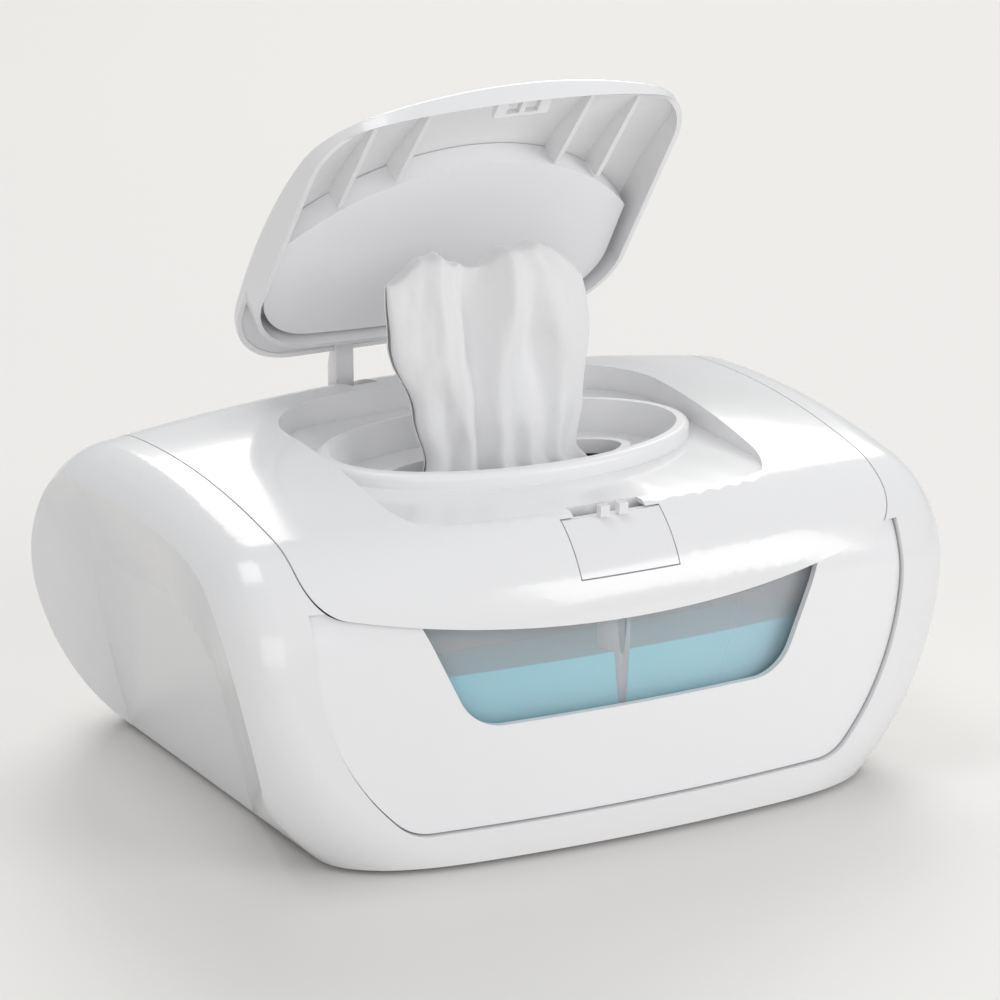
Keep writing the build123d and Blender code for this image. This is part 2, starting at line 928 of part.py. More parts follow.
with BuildPart() as thermostat:
    with BuildSketch(Plane.XY.offset(pad_low + cut_over)):
        with Locations((sensor_x, bin_centre)):
            Circle(sensor_radius)
    extrude(amount=pad_thickness - cut_over)
    with BuildSketch(Plane.XY.offset(pad_low - cut_over)):
        with Locations((sensor_x, bin_centre)):
            with GridLocations(sensor_radius, 0, 2, 1):
                Rectangle(spring_wire, sensor_radius / 2)
    extrude(amount=2)
thermostat.part.label = "thermostat"

base_top = foot_lift + base_thickness
board_top = board_low + board_thickness
board_post_inset = 8.0
board_post_radius = 2.5
vent_pitch = 8.0
vent_count = 8
vent_length = 12.0
vent_width = 2.5

with BuildPart() as base_plate:
    with BuildSketch(Plane.XY.offset(foot_lift)):
        with Locations((0, base_shift)):
            RectangleRounded(base_length, base_depth, base_corner - base_gap)
    extrude(amount=base_thickness)
    # Ribs that carry the insulation pad
    with BuildSketch(Plane.XY.offset(base_top)):
        with Locations((0, bin_centre)):
            with GridLocations(rib_pitch, 0, 4, 1):
                Rectangle(rib_width, heater_depth - bin_centre)
    extrude(amount=pad_low - base_top)
    # Posts for the control board
    with BuildSketch(Plane.XY.offset(base_top)):
        with Locations((board_x, board_y)):
            with GridLocations(board_length - board_post_inset, 0, 2, 1):
                Circle(board_post_radius)
    extrude(amount=board_low - base_top)
    # Recesses for the screw heads and the feet
    with BuildSketch(Plane.XY.offset(foot_lift)):
        with Locations(*post_spots):
            Circle(screw_head_radius + base_gap)
    extrude(amount=screw_head_height + 0.1, mode=Mode.SUBTRACT)
    with BuildSketch(Plane.XY.offset(foot_lift)):
        with Locations(*post_spots):
            Circle(screw_radius + pin_fit)
    extrude(amount=base_thickness, mode=Mode.SUBTRACT)
    with BuildSketch(Plane.XY.offset(foot_lift)):
        with Locations(*foot_spots):
            Circle(foot_radius + pin_fit)
    extrude(amount=foot_seat, mode=Mode.SUBTRACT)
    # Vent slots
    with BuildSketch(Plane.XY.offset(foot_lift)):
        with Locations((0, post_front)):
            with GridLocations(vent_pitch, 0, vent_count, 1):
                SlotOverall(vent_length, vent_width, rotation=90)
    extrude(amount=base_thickness, mode=Mode.SUBTRACT)
base_plate.part.label = "base_plate"

with BuildPart() as rubber_feet:
    with BuildSketch():
        with Locations(*foot_spots):
            Circle(foot_radius)
    extrude(amount=foot_lift + foot_seat)
    chamfer(rubber_feet.edges().group_by(Axis.Z)[0], foot_seat / 2)
rubber_feet.part.label = "rubber_feet"

screw_low = foot_lift + 0.1
screw_slot = 0.7
with BuildPart() as base_screws:
    with BuildSketch(Plane.XY.offset(screw_low)):
        with Locations(*post_spots):
            Circle(screw_head_radius)
    extrude(amount=screw_head_height)
    with BuildSketch(Plane.XY.offset(screw_low)):
        with Locations(*post_spots):
            Circle(screw_radius)
    extrude(amount=screw_depth)
    with BuildSketch(Plane.XY.offset(screw_low)):
        with Locations(*post_spots):
            Rectangle(screw_head_radius, screw_slot)
            Rectangle(screw_slot, screw_head_radius)
    extrude(amount=screw_slot, mode=Mode.SUBTRACT)
base_screws.part.label = "base_screws"

relay_length = 12.0
relay_depth = 8.0
relay_height = 6.0
can_radius = 3.0
can_height = 9.0
with BuildPart() as control_board:
    with BuildSketch(Plane.XY.offset(board_low)):
        with Locations((board_x, board_y)):
            Rectangle(board_length, board_depth)
    extrude(amount=board_thickness)
    with BuildSketch(Plane.XY.offset(board_top)):
        with Locations((board_x - relay_length, board_y)):
            Rectangle(relay_length, relay_depth)
    extrude(amount=relay_height)
    with BuildSketch(Plane.XY.offset(board_top)):
        with Locations((board_x + relay_depth, board_y)):
            with GridLocations(relay_depth, 0, 2, 1):
                Circle(can_radius)
    extrude(amount=can_height)
control_board.part.label = "control_board"

jack_block_length = 14.0
jack_block_height = 12.0
jack_block_depth = 10.0
jack_block_face = jack_inner - seat
with BuildPart() as power_jack:
    add(jack_round(jack_ring_radius, rear - jack_recess - seat, jack_block_face - cut_over))
    with BuildSketch(Plane.XZ.offset(-jack_block_face)):
        with Locations((jack_x, jack_height)):
            RectangleRounded(jack_block_length, jack_block_height, jack_pin_radius)
    extrude(amount=jack_block_depth)
    add(
        jack_round(jack_hole_radius, rear, jack_block_face - jack_block_depth + wall),
        mode=Mode.SUBTRACT,
    )
    add(
        jack_round(
            jack_pin_radius, rear - jack_recess - cut_over, jack_block_face - jack_block_depth + cut_over
        )
    )
power_jack.part.label = "power_jack"

# ------------------------------------------------------------- top cover
lid_arms = (-lid_arm_x, lid_arm_x)
pocket_half = lid_arm_width / 2 + hinge_pocket_gap
pocket_middle = (hinge_pocket_front + hinge_pocket_rear) / 2
pocket_run = hinge_pocket_rear - hinge_pocket_front
dish_under = dish_height - dish_wall

with BuildPart() as cover_skirts:
    add(outer_form)
    add(skirt_form, mode=Mode.SUBTRACT)
    with BuildSketch():
        for side_sign in (-1, 1):
            with Locations((side_sign * (seam_half - wall / 2), 0)):
                Rectangle(wall, depth + 2 * cut_far)
    extrude(amount=clear_top, mode=Mode.INTERSECT)

with BuildPart() as dish_block:
    add(dish_prism(lid_gap + dish_wall, dish_rear))
    add(under_dish(-dish_wall), mode=Mode.SUBTRACT)
    with BuildSketch(Plane.XY.offset(hinge_pocket_floor - dish_wall)):
        for arm_x in lid_arms:
            with Locations((arm_x, pocket_middle)):
                Rectangle(2 * (pocket_half + dish_wall), pocket_run + 2 * dish_wall)
    extrude(amount=clear_top - hinge_pocket_floor)
    add(outer_form, mode=Mode.INTERSECT)

with BuildPart() as dish_pocket:
    add(dish_prism(lid_gap, dish_rear))
    add(under_dish(0), mode=Mode.SUBTRACT)
    with BuildSketch(Plane.XY.offset(hinge_pocket_floor)):
        for arm_x in lid_arms:
            with Locations((arm_x, pocket_middle)):
                Rectangle(2 * pocket_half, pocket_run)
    extrude(amount=clear_top - hinge_pocket_floor)

with BuildPart() as seal_wall:
    add(seal_ring(bin_top + seal_height + seat, clear_top))
    add(body_form(wall / 2), mode=Mode.INTERSECT)

with BuildPart() as button_box:
    add(
        slab(
            button_low - button_gap - wall,
            dish_under + cut_over,
            button_half + button_gap + wall,
            front,
            cavity_rear + wall,
        )
    )
    add(outer_form, mode=Mode.INTERSECT)

well_hole = oval_prism(
    well_half + well_wall + drop_gap,
    well_half_depth + well_wall + drop_gap,
    dish_under - 5,
    clear_top,
)
button_cavity = slab(
    button_low - button_gap,
    button_high + button_gap,
    button_half + button_gap,
    clear_front,
    cavity_rear,
)
latch_slot = slab(button_high, clear_top, latch_slot_half, clear_front, cavity_rear)
lid_pin_bores = cross_rods(
    lid_pin_radius + pin_fit, lid_arms, lid_pin_length + pin_fit, lid_hinge_y, lid_hinge_height
)

with BuildPart() as top_cover:
    add(outer_form)
    add(inner_form, mode=Mode.SUBTRACT)
    add(cover_skirts.part)
    add(dish_block.part)
    add(seal_wall.part)
    add(button_box.part)
    add(cover_prism(0, rear + cut_far), mode=Mode.INTERSECT)
    add(slab(0, hinge_height, width, cover_back - cut_over, rear + cut_far), mode=Mode.SUBTRACT)
    add(dish_pocket.part, mode=Mode.SUBTRACT)
    add(well_hole, mode=Mode.SUBTRACT)
    add(button_cavity, mode=Mode.SUBTRACT)
    add(latch_slot, mode=Mode.SUBTRACT)
    add(
        hinge_relief(
            barrel_length / 2,
            3 * barrel_step / 2 + barrel_gap,
            hinge_height - barrel_radius - barrel_gap,
            hinge_height + barrel_radius + barrel_gap,
        ),
        mode=Mode.SUBTRACT,
    )
    add(cross_rods(barrel_radius, spread, barrel_length, hinge_y, hinge_height))
    add(pin_bores, mode=Mode.SUBTRACT)
    add(lid_pin_bores, mode=Mode.SUBTRACT)
top_cover.part.label = "top_cover"

flip_lid_pins = cross_rods(
    lid_pin_radius, lid_arms, lid_pin_length, lid_hinge_y, lid_hinge_height
)
flip_lid_pins.label = "flip_lid_pins"

# The well is a cup with a rounded rim and a raised ring round the orifice
well_under = well_floor_height - well_wall
with BuildPart() as well_flange:
    add(
        oval_prism(
            well_half + well_rim_width,
            well_half_depth + well_rim_width,
            well_floor_height,
            well_rim_height,
        )
    )
    add(under_dish(0), mode=Mode.SUBTRACT)

with BuildPart() as dispenser_well:
    add(
        oval_prism(
            well_half + well_wall, well_half_depth + well_wall, well_under, well_rim_height
        )
    )
    add(well_flange.part)
    fillet(dispenser_well.edges().group_by(Axis.Z)[-1], well_rim_round)
    add(
        oval_prism(well_half, well_half_depth, well_floor_height, clear_top),
        mode=Mode.SUBTRACT,
    )
    add(
        oval_prism(
            orifice_half + orifice_ring,
            orifice_half_depth + orifice_ring,
            well_under,
            well_floor_height + orifice_ring_height,
        )
    )
    add(
        oval_prism(orifice_half, orifice_half_depth, well_under - cut_over, clear_top),
        mode=Mode.SUBTRACT,
    )
dispenser_well.part.label = "dispenser_well"

# -------------------------------------------------------- release button
with BuildPart() as release_button:
    add(outer_form)
    add(
        slab(button_low, button_high, button_half, front, button_back),
        mode=Mode.INTERSECT,
    )
    with BuildPart(mode=Mode.PRIVATE) as button_hollow:
        add(body_form(button_face))
        add(
            slab(
                button_low + button_face,
                button_high - button_face,
                button_half - button_face,
                front,
                rear,
            ),
            mode=Mode.INTERSECT,
        )
    add(button_hollow.part, mode=Mode.SUBTRACT)
    with BuildSketch(Plane.XY.offset(button_high)):
        for side_sign in (-1, 1):
            with Locations(
                (side_sign * (prong_inner + prong_outer) / 2, (prong_front + prong_rear) / 2)
            ):
                Rectangle(prong_outer - prong_inner, prong_rear - prong_front)
    extrude(amount=prong_top - button_high)
release_button.part.label = "release_button"

# --------------------------------------------------------------- flip lid
skirt_rear = dish_rear - lid_swing_clear

with BuildPart() as lid_room:
    add(dish_prism(0, skirt_rear))
    add(under_dish(lid_rim_clear), mode=Mode.SUBTRACT)

with BuildPart() as lid_seat:
    add(body_form(-lid_rim_clear))
    add(lid_room.part, mode=Mode.SUBTRACT)

with BuildPart() as lid_hollow:
    add(dish_prism(-lid_wall, lid_rear))
    add(lid_dome(lid_wall), mode=Mode.INTERSECT)

with BuildPart() as lid_skirt:
    add(dish_prism(0, skirt_rear))
    add(dish_prism(-lid_wall, skirt_rear), mode=Mode.SUBTRACT)
    add(slab(0, clear_top + 2 * cut_far, width, gusset_front, rear), mode=Mode.INTERSECT)


def liner_reach(x):
    """How far forwards the liner's front edge comes at x."""
    return liner_front + liner_bow_radius - sqrt(liner_bow_radius**2 - x**2)


with BuildPart() as lid_gussets:
    for gusset_x in (-gusset_outer, -gusset_inner, gusset_inner, gusset_outer):
        start = liner_reach(abs(gusset_x) - gusset_width) - seam_gap
        with BuildSketch(Plane.YZ.offset(gusset_x - gusset_width / 2)):
            with BuildLine():
                Polyline(
                    (start, gusset_low),
                    (start, lid_peak_height),
                    (gusset_front, lid_peak_height),
                    (gusset_front, dish_height),
                    close=True,
                )
            make_face()
        extrude(amount=gusset_width)

arm_reach = hypot(lid_hinge_y - lid_arm_y, lid_arm_height - lid_hinge_height)
arm_slope = -degrees(asin((lid_arm_height - lid_hinge_height) / arm_reach))
with BuildPart() as lid_arm_bars:
    for arm_x in lid_arms:
        with BuildSketch(Plane.YZ.offset(arm_x - lid_arm_width / 2)):
            with Locations(((lid_hinge_y + lid_arm_y) / 2, (lid_hinge_height + lid_arm_height) / 2)):
                SlotCenterToCenter(arm_reach, lid_arm_thickness, rotation=arm_slope)
        extrude(amount=lid_arm_width)
    add(lid_dome(lid_wall / 2), mode=Mode.INTERSECT)

with BuildPart() as lid_blank:
    add(dish_prism(0, lid_rear))
    add(lid_dome(0), mode=Mode.INTERSECT)
    fillet(lid_blank.faces().sort_by(Axis.Z)[-1].edges(), lid_edge_round)

with BuildPart() as lid_ribs:
    add(lid_skirt.part)
    add(lid_gussets.part)
    add(lid_blank.part, mode=Mode.INTERSECT)
    add(lid_dome(lid_wall / 2), mode=Mode.INTERSECT)

with BuildPart() as closed_lid:
    add(lid_blank.part)
    add(lid_hollow.part, mode=Mode.SUBTRACT)
    add(lid_ribs.part)
    add(lid_seat.part, mode=Mode.SUBTRACT)
    add(lid_arm_bars.part)
    add(
        cross_rods(
            lid_pin_radius + pin_fit, lid_arms, lid_pin_length, lid_hinge_y, lid_hinge_height
        ),
        mode=Mode.SUBTRACT,
    )
    # Catch plate with the two latch holes
    add(slab(catch_low, catch_low + catch_thickness, catch_half, lid_front + cut_over, catch_rear))
    with BuildSketch(Plane.XY.offset(catch_low - cut_over)):
        for side_sign in (-1, 1):
            with Locations(
                (
                    side_sign * (latch_hole_inner + latch_hole_outer) / 2,
                    (latch_hole_front + latch_hole_rear) / 2,
                )
            ):
                Rectangle(
                    latch_hole_outer - latch_hole_inner, latch_hole_rear - latch_hole_front
                )
    extrude(amount=catch_thickness + 2, mode=Mode.SUBTRACT)

with BuildPart() as closed_liner:
    with BuildSketch(Plane.XY.offset(liner_low)) as liner_face:
        add(rim_outline(-liner_inset, dish_rear))
        with Locations((0, liner_front + liner_bow_radius)):
            Circle(liner_bow_radius, mode=Mode.INTERSECT)
    extrude(amount=clear_top)
    add(lid_dome(lid_wall + liner_seat), mode=Mode.INTERSECT)
    with BuildSketch(Plane.XY.offset(liner_low + liner_thickness)):
        offset(liner_face.sketch, amount=-liner_thickness)
    extrude(amount=clear_top, mode=Mode.SUBTRACT)

flip_axis = Axis((0, lid_hinge_y, lid_hinge_height), (1, 0, 0))
flip_lid = closed_lid.part.rotate(flip_axis, -lid_open_angle)
flip_lid.label = "flip_lid"
flip_liner = closed_liner.part.rotate(flip_axis, -lid_open_angle)
flip_liner.label = "flip_liner"

# ----------------------------------------------------- spring of the button
spring_front = front + spring_start
spring_run = cavity_rear - seat - spring_wire - spring_front
spring_height = button_low + spring_rise
with BuildPart() as button_spring:
    with BuildLine() as coil:
        Helix(
            pitch=spring_run / spring_turns,
            height=spring_run,
            radius=spring_radius,
            center=(0, spring_front, spring_height),
            direction=(0, 1, 0),
        )
    with BuildSketch(Plane(origin=coil.line @ 0, z_dir=coil.line % 0)):
        Circle(spring_wire)
    sweep()
button_spring.part.label = "button_spring"

# The coil's least gap to itself, between points that lie half a turn or more apart
steps = 24 * spring_turns
coil_points = [coil.line @ (i / steps) for i in range(steps + 1)]
least_gap = min(
    (coil_points[i] - coil_points[j]).length - 2 * spring_wire
    for i in range(steps + 1)
    for j in range(i + 12, steps + 1)
)
print("button_spring least gap", round(least_gap, 2))


# ------------------------------------------------------------------- wipe
def wipe_section(height, left, right, swing):
    """One level of the pulled-up wipe: a folded strip seen from above."""
    points = wipe_folds * 2 + 1
    step = (right - left) / (points - 1)
    middle = [
        (left + step * i, well_centre + swing * sin(pi * i / 2 + wipe_twist * height))
        for i in range(points)
    ]
    outline = [(x, y - wipe_thickness / 2) for x, y in middle]
    outline += [(x, y + wipe_thickness / 2) for x, y in reversed(middle)]
    with BuildSketch(Plane.XY.offset(height)) as section:
        with BuildLine():
            Polyline(*outline, close=True)
        make_face()
    return section.sketch


wipe_low = stack_base + stack_height + seat
with BuildPart() as wipe:
    # At each height: where the strip ends at the left and right, and how far its folds swing
    for height, left, right, swing in (
        (wipe_low, -12, 12, 2),
        (wipe_under_well, -20, 18, 3),
        (wipe_over_ring, -27, 23, 5),
        (wipe_neck, -31, 25, 8),
        (wipe_shoulder, -39, 26, 10),
        (wipe_top, -36, 22, 6),
    ):
        add(wipe_section(height, left, right, swing))
    loft()
wipe.part.label = "wipe"

for node in (
    housing_front,
    housing_rear,
    housing_left,
    housing_right,
    deck_frame.part,
    cover_hinge_pins,
    front_panel.part,
    water_tank.part,
    tank_water.part,
    tank_cover.part,
    filler_plug.part,
    inner_bin.part,
    bin_seal,
    wipe_stack.part,
    heater_plate.part,
    insulation_pad.part,
    thermostat.part,
    base_plate.part,
    rubber_feet.part,
    base_screws.part,
    control_board.part,
    power_jack.part,
    top_cover.part,
    flip_lid_pins,
    dispenser_well.part,
    release_button.part,
    button_spring.part,
    flip_lid,
    flip_liner,
    wipe.part,
):
    export_step(node, "parts/" + node.label + ".step")
    print(node.label, len(node.solids()), round(node.volume))
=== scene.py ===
from math import cos, exp, pi, radians, sin

import bmesh
import bpy
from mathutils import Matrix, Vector, noise


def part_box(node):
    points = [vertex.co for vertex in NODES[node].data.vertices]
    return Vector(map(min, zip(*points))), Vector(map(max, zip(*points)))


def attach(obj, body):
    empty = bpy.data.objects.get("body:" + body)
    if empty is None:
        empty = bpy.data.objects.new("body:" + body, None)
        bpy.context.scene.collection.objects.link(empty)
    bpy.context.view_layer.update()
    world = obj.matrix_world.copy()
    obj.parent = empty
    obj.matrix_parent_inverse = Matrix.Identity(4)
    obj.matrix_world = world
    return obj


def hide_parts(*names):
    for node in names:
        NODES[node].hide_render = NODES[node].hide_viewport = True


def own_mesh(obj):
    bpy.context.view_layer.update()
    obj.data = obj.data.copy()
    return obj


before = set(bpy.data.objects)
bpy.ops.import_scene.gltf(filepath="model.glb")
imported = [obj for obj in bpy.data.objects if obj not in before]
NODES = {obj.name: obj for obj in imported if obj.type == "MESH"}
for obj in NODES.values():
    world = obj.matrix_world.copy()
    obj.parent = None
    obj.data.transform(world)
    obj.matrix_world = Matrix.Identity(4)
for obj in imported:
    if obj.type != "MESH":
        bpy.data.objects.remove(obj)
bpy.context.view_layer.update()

MM = 0.001


# ------------------------------------------------------------ shader maths
class Wire:
    """An output of a material's node that takes part in Python arithmetic."""

    def __init__(self, finish, socket):
        self.finish = finish
        self.socket = socket

    def work(self, operation, *values):
        return self.finish.node("ShaderNodeMath", {"operation": operation}, *values)

    def __add__(self, other):
        return self.work("ADD", self, other)

    __radd__ = __add__

    def __mul__(self, other):
        return self.work("MULTIPLY", self, other)

    __rmul__ = __mul__

    def __sub__(self, other):
        return self.work("SUBTRACT", self, other)

    def __rsub__(self, other):
        return self.work("SUBTRACT", other, self)

    def __truediv__(self, other):
        return self.work("DIVIDE", self, other)

    def __gt__(self, other):
        return self.work("GREATER_THAN", self, other)

    def clamped(self):
        return self.work("MINIMUM", self.work("MAXIMUM", self, 0.0), 1.0)

    def sine(self):
        return self.work("SINE", self)

    def powered(self, exponent):
        return self.work("POWER", self, exponent)

    def out(self, name):
        """Another output of the same node."""
        return Wire(self.finish, self.socket.node.outputs[name])


class Finish:
    """A material and the few ways in which its nodes are made."""

    def __init__(self, name):
        self.material = bpy.data.materials.new(name)
        self.material.use_nodes = True
        self.tree = self.material.node_tree
        self.shader = self.tree.nodes["Principled BSDF"]

    def feed(self, socket, value):
        if isinstance(value, Wire):
            self.tree.links.new(value.socket, socket)
        elif hasattr(socket.default_value, "__len__") and not hasattr(value, "__len__"):
            socket.default_value = [value] * len(socket.default_value)
        elif hasattr(value, "__len__") and len(value) == 3 and len(socket.default_value) == 4:
            socket.default_value = (*value, 1.0)
        else:
            socket.default_value = value

    def node(self, kind, settings=None, *values, **named):
        made = self.tree.nodes.new(kind)
        for key, value in (settings or {}).items():
            setattr(made, key, value)
        for socket, value in zip(made.inputs, values):
            self.feed(socket, value)
        for key, value in named.items():
            self.feed(made.inputs[key.replace("_", " ")], value)
        return Wire(self, made.outputs[0])

    def place(self):
        """Where a point of the object is, in metres."""
        return self.node("ShaderNodeTexCoord").out("Object")

    def along(self, axis):
        return self.node("ShaderNodeSeparateXYZ", None, self.place()).out(axis)

    def cloudy(self, scale, detail=3.0, roughness=0.55):
        """Soft noise from 0 to 1."""
        made = self.node(
            "ShaderNodeTexNoise",
            None,
            Vector=self.place(),
            Scale=scale,
            Detail=detail,
            Roughness=roughness,
        )
        return made.out("Fac") if "Fac" in made.socket.node.outputs else made

    def mixed(self, share, first, second):
        """A colour between two, by share."""
        made = self.node("ShaderNodeMix", {"data_type": "RGBA"})
        sockets = [s for s in made.socket.node.inputs if s.enabled]
        for socket, value in zip(sockets, (share, first, second)):
            self.feed(socket, value)
        return Wire(self, [s for s in made.socket.node.outputs if s.enabled][0])

    def raised(self, height, distance, strength=1.0, under=None):
        """A bump of the given height map."""
        named = {"Height": height, "Distance": distance, "Strength": strength}
        if under is not None:
            named["Normal"] = under
        return self.node("ShaderNodeBump", None, **named)

    def near_edges(self, radius):
        """1 on a convex edge, falling to 0 on a flat face."""
        rounded = self.node("ShaderNodeBevel", {"samples": 6}, Radius=radius)
        plain = self.node("ShaderNodeNewGeometry").out("Normal")
        dot = self.node("ShaderNodeVectorMath", {"operation": "DOT_PRODUCT"}, rounded, plain)
        return (1.0 - dot.out("Value")) * 4.0

    def surface(self, **named):
        for key, value in named.items():
            self.feed(self.shader.inputs[key.replace("_", " ")], value)
        return self.material


# --------------------------------------------------------------- finishes
def moulded_gloss(name, colour, roughness=0.2, coat=0.35):
    """Injection-moulded ABS: glossy, with faint mould texture and handling marks."""
    f = Finish(name)
    shade = f.cloudy(14.0)
    smudge = f.cloudy(55.0, 5.0)
    tone = f.mixed((shade * 0.5 + smudge * 0.15).clamped(), colour, [c * 0.975 for c in colour])
    skin = f.cloudy(900.0, 2.0)
    ripple = f.cloudy(45.0, 1.0)
    normal = f.raised(ripple, 0.00006, 0.35, f.raised(skin, 0.00001, 0.25))
    return f.surface(
        Base_Color=tone,
        Roughness=smudge * 0.08 + (roughness - 0.04),
        Coat_Weight=coat,
        Coat_Roughness=0.08,
        IOR=1.5,
        Normal=normal,
    )


def moulded_satin(name, colour, roughness=0.42):
    """Fine-textured moulded plastic."""
    f = Finish(name)
    grain = f.cloudy(1600.0, 2.0)
    shade = f.cloudy(20.0)
    tone = f.mixed(shade * 0.5, colour, [c * 0.965 for c in colour])
    return f.surface(
        Base_Color=tone,
        Roughness=grain * 0.12 + (roughness - 0.06),
        Normal=f.raised(grain, 0.00002, 0.4),
        IOR=1.49,
    )


def clear_moulding(name, colour, alpha, roughness=0.06):
    """Clear polycarbonate with faint flow lines and a painted reflection: its pale colour is laid on partly opaque,
    more so at glancing angles.
    """
    f = Finish(name)
    flow = f.cloudy(30.0, 2.0)
    tone = f.mixed(flow * 0.4, colour, [c * 0.93 for c in colour])
    # painted reflection: the pale base shows partly opaque, more at glancing angles, lightening the clear parts
    painted_glancing_reflection = f.node("ShaderNodeLayerWeight", None, Blend=0.35).out("Facing")
    made = f.surface(
        Base_Color=tone,
        Roughness=flow * 0.05 + roughness,
        Alpha=(painted_glancing_reflection * 0.45 + alpha).clamped(),
        IOR=1.45,
        Normal=f.raised(flow, 0.0002, 0.3),
    )
    return made


def tank_water_finish():
    """Blue-green water with painted shade: darker towards the bottom and the sides, brighter near the top."""
    f = Finish("tank water")
    up = (f.along("Z") - 0.032) / 0.023
    side = (f.along("X") / 0.068).powered(2.0)
    ripple = f.cloudy(60.0, 3.0)
    # painted shade: the water is darker low down and at the sides and brighter near the top, with random ripple tone
    # mixed in
    water_painted_shade = ((1.0 - up) * 0.35 + side * 0.35 + ripple * 0.2).clamped()
    tone = f.mixed(water_painted_shade, (0.10, 0.80, 0.92), (0.02, 0.50, 0.68))
    return f.surface(
        Base_Color=tone,
        Roughness=0.06,
        Alpha=0.9,
        IOR=1.33,
        Normal=f.raised(ripple, 0.0006, 0.3),
    )


def soft_rubber(name, colour):
    f = Finish(name)
    dust = f.cloudy(700.0, 4.0)
    tone = f.mixed(dust * 0.6, colour, [min(1.0, c * 1.25 + 0.02) for c in colour])
    return f.surface(
        Base_Color=tone,
        Roughness=dust * 0.15 + 0.62,
        Normal=f.raised(dust, 0.00003, 0.6),
    )


def brushed_metal(name, colour, roughness=0.32):
    f = Finish(name)
    stretched = f.node("ShaderNodeMapping", None, Vector=f.place(), Scale=(60.0, 1500.0, 1500.0))
    lines = f.node("ShaderNodeTexNoise", None, Vector=stretched, Scale=1.0, Detail=2.0)
    tone = f.mixed(lines * 0.5, colour, [c * 0.8 for c in colour])
    return f.surface(
        Base_Color=tone,
        Metallic=1.0,
        Roughness=lines * 0.2 + (roughness - 0.1),
        Normal=f.raised(lines, 0.00001, 0.4),
    )


def circuit_board():
    """Green solder mask with paler tracks."""
    f = Finish("circuit board")
    cell = f.node("ShaderNodeTexVoronoi", {"feature": "DISTANCE_TO_EDGE"}, Vector=f.place(), Scale=260.0)
    track = 1.0 - (cell * 14.0).clamped()
    tone = f.mixed(track, (0.02, 0.16, 0.07), (0.18, 0.36, 0.14))
    return f.surface(Base_Color=tone, Roughness=track * 0.2 + 0.3)


def non_woven(name, colour):
    """Spun-laced viscose: random fibres, embossed dots and a soft sheen."""
    f = Finish(name)
    fibres = f.cloudy(2600.0, 4.0, 0.7)
    weave = f.node("ShaderNodeTexVoronoi", None, Vector=f.place(), Scale=420.0)
    damp = f.cloudy(38.0, 3.0)
    tone = f.mixed((fibres * 0.3 + damp * 0.25).clamped(), colour, [c * 0.94 for c in colour])
    dots = f.raised(weave, 0.00015, 0.5)
    return f.surface(
        Base_Color=tone,
        Roughness=damp * 0.15 + 0.6,
        Sheen_Weight=0.25,
        Subsurface_Weight=0.25,
        Subsurface_Radius=(0.004, 0.004, 0.004),
        Subsurface_Scale=1.0,
        Normal=f.raised(fibres, 0.0001, 0.45, dots),
    )


def foam_pad():
    f = Finish("foam pad")
    cells = f.node("ShaderNodeTexVoronoi", None, Vector=f.place(), Scale=500.0)
    tone = f.mixed(cells, (0.62, 0.6, 0.56), (0.5, 0.48, 0.44))
    return f.surface(Base_Color=tone, Roughness=0.9, Normal=f.raised(cells, 0.0004, 0.8))


def dress(node, material, angle=35.0):
    """Gives a CAD node its material, with smooth faces and sharp edges kept."""
    piece = NODES[node]
    piece.data.materials.clear()
    piece.data.materials.append(material)
    soften(piece, angle)
    return piece


def crisp_edges(angle):
    """A modifier's node group: facets joined and shaded smooth, but for edges over angle."""
    name = f"crisp over {angle:g}"
    if name in bpy.data.node_groups:
        return bpy.data.node_groups[name]
    group = bpy.data.node_groups.new(name, "GeometryNodeTree")
    group.interface.new_socket("Geometry", in_out="INPUT", socket_type="NodeSocketGeometry")
    group.interface.new_socket("Geometry", in_out="OUTPUT", socket_type="NodeSocketGeometry")
    start = group.nodes.new("NodeGroupInput")
    join = group.nodes.new("GeometryNodeMergeByDistance")
    join.inputs["Distance"].default_value = 2e-6
    smooth = group.nodes.new("GeometryNodeSetShadeSmooth")
    bend = group.nodes.new("GeometryNodeInputMeshEdgeAngle")
    sharp = group.nodes.new("FunctionNodeCompare")
    sharp.inputs["B"].default_value = radians(angle)
    crisp = group.nodes.new("GeometryNodeSetShadeSmooth")
    crisp.domain = "EDGE"
    crisp.inputs["Shade Smooth"].default_value = False
    end = group.nodes.new("NodeGroupOutput")
    for source, target in (
        (start.outputs[0], join.inputs["Geometry"]),
        (join.outputs[0], smooth.inputs["Geometry"]),
        (smooth.outputs[0], crisp.inputs["Geometry"]),
        (bend.outputs["Unsigned Angle"], sharp.inputs["A"]),
        (sharp.outputs[0], crisp.inputs["Selection"]),
        (crisp.outputs[0], end.inputs[0]),
    ):
        group.links.new(source, target)
    return group


def soften(piece, angle):
    mesh = piece.data
    if "custom_normal" in mesh.attributes:
        mesh.attributes.remove(mesh.attributes["custom_normal"])
    joined = piece.modifiers.new("joined facets", "NODES")
    joined.node_group = crisp_edges(angle)
    weighed = piece.modifiers.new("flat faces stay flat", "WEIGHTED_NORMAL")
    weighed.keep_sharp = True


WHITE = (0.86, 0.86, 0.865)


